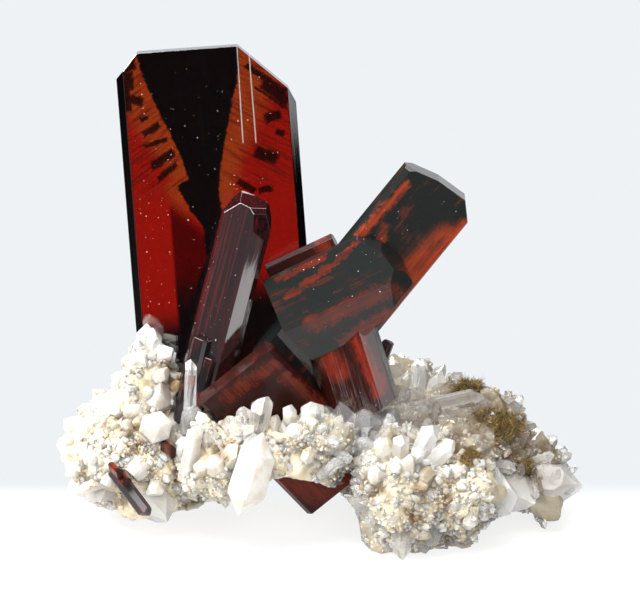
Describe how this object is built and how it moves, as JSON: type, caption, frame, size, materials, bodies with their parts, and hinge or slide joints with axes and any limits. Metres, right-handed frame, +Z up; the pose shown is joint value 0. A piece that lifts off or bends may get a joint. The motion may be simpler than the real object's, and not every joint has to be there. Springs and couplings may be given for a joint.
{
  "type": "mineral specimen",
  "caption": "Mineral specimen: dark red tabular and prismatic brookite crystals standing on a matrix of white and clear quartz crystals.",
  "frame": {"origin": "under the middle of the specimen's bounding box, on the surface that it rests on", "axes": "+X to the right of the best face, +Y away from it, +Z up"},
  "size_m": [0.0394, 0.0208, 0.0358],
  "materials": {
    "brookite_red": "glossy adamantine crystal, deep red with black zones",
    "brookite_dark": "glossy adamantine crystal, nearly black with a red-brown cast",
    "quartz_milky": "milky to clear quartz crystals, with ochre stains"
  },
  "bodies": {
    "root": {"tall_blade": "brookite_red", "front_prism": "brookite_dark", "crossed_cluster": "brookite_red", "small_prism": "brookite_dark", "back_prism": "brookite_dark", "quartz_matrix": "quartz_milky"}
  },
  "joints": []
}
